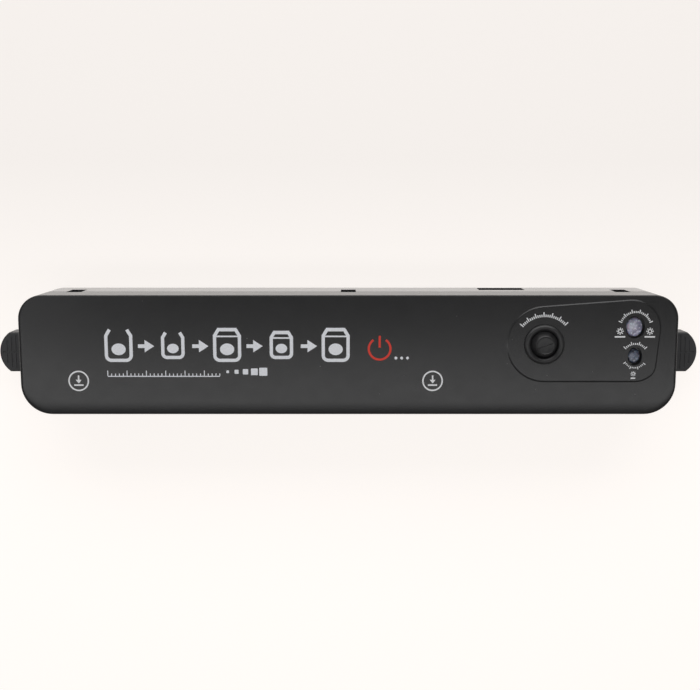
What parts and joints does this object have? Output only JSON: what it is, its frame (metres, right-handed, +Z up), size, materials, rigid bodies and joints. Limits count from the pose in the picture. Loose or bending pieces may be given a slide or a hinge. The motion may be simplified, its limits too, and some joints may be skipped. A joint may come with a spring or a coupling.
{
  "type": "vacuum sealer",
  "caption": "Bar-shaped kitchen vacuum sealer with a hinged lid, latch ears at both ends, an air release valve and push buttons.",
  "frame": {"origin": "on the table, under the middle of the base", "axes": "+X right along the lid as its face reads, +Y to the hinge at the rear, +Z up through the lid"},
  "size_m": [0.3766, 0.0624, 0.0515],
  "materials": {
    "case_black": "matte textured ABS",
    "ear_black": "satin ABS",
    "rubber": "matte",
    "gasket": "soft matte silicone foam",
    "lens_violet": "translucent light guide",
    "lens_blue": "translucent light guide",
    "steel": "plain",
    "brass": "plain",
    "board": "solder mask",
    "tape": "PTFE coated glass cloth",
    "dark_part": "moulded",
    "pale_part": "moulded"
  },
  "bodies": {
    "base": {"base_housing": "case_black", "bottom_cover": "case_black", "foot_front_left": "rubber", "foot_front_right": "rubber", "foot_rear_left": "rubber", "foot_rear_right": "rubber", "cover_screw_1": "steel", "cover_screw_2": "steel", "cover_screw_3": "steel", "cover_screw_4": "steel", "hinge_pin_1": "steel", "hinge_pin_2": "steel", "hinge_pin_3": "steel", "lower_gasket": "gasket", "heater_bar": "pale_part", "heater_strip": "steel", "ptfe_tape": "tape", "heater_terminal_left": "brass", "heater_terminal_right": "brass", "motor_can": "steel", "motor_end_cap": "dark_part", "pump_head": "dark_part", "pump_diaphragm": "rubber", "chamber_nipple": "brass", "air_hose": "rubber", "main_board": "board", "transformer": "dark_part", "relay": "pale_part", "capacitor": "dark_part", "heatsink": "steel", "mains_inlet": "dark_part", "inlet_pin_left": "steel", "inlet_pin_right": "steel", "lid_switch": "dark_part", "button_board": "board", "vacuum_tact_switch": "dark_part", "vacuum_led": "pale_part", "seal_tact_switch": "dark_part", "seal_led": "pale_part", "left_ear_spring": "steel", "right_ear_spring": "steel"},
    "lid": {"lid_shell": "case_black", "lid_inner_plate": "case_black", "upper_gasket": "gasket", "sealing_pad": "gasket", "valve_ring": "rubber", "valve_spring": "steel", "lid_screw_1": "steel", "lid_screw_2": "steel", "lid_screw_3": "steel", "lid_screw_4": "steel"},
    "valve": {"valve_knob": "rubber", "valve_seal": "gasket"},
    "left_ear": {"left_release_ear": "ear_black"},
    "right_ear": {"right_release_ear": "ear_black"},
    "vacuum_key": {"vacuum_button": "lens_violet"},
    "seal_key": {"seal_button": "lens_blue"},
    "lid_switch_plunger": {"lid_plunger": "pale_part"},
    "rotor": {"motor_rotor": "steel"}
  },
  "joints": [
    {"name": "lid_hinge", "type": "hinge", "parent": "base", "child": "lid", "pos_m": [0, 0.026, 0.02], "axis": [-1, 0, 0], "range_deg": [0, 95]},
    {"name": "left_ear_push", "type": "slide", "parent": "base", "child": "left_ear", "axis": [1, 0, 0], "range_m": [0, 0.0035], "stiffness_N_per_m": 400, "springref_m": -0.003, "deforming": ["left_ear_spring"]},
    {"name": "right_ear_push", "type": "slide", "parent": "base", "child": "right_ear", "axis": [-1, 0, 0], "range_m": [0, 0.0035], "stiffness_N_per_m": 400, "springref_m": -0.003, "deforming": ["right_ear_spring"]},
    {"name": "vacuum_button_press", "type": "slide", "parent": "base", "child": "vacuum_key", "axis": [0, 0, -1], "range_m": [0, 0.0008], "stiffness_N_per_m": 500, "springref_m": -0.002},
    {"name": "seal_button_press", "type": "slide", "parent": "base", "child": "seal_key", "axis": [0, 0, -1], "range_m": [0, 0.0008], "stiffness_N_per_m": 500, "springref_m": -0.002},
    {"name": "lid_switch_press", "type": "slide", "parent": "base", "child": "lid_switch_plunger", "axis": [0, 0, -1], "range_m": [0, 0.0012], "stiffness_N_per_m": 300, "springref_m": -0.002},
    {"name": "valve_press", "type": "slide", "parent": "lid", "child": "valve", "axis": [0, 0, -1], "range_m": [0, 0.0025], "stiffness_N_per_m": 300, "springref_m": -0.003, "deforming": ["valve_spring"]},
    {"name": "motor_spin", "type": "hinge", "parent": "base", "child": "rotor", "pos_m": [0.1395, 0, 0.0175], "axis": [0, 1, 0], "continuous": true}
  ]
}
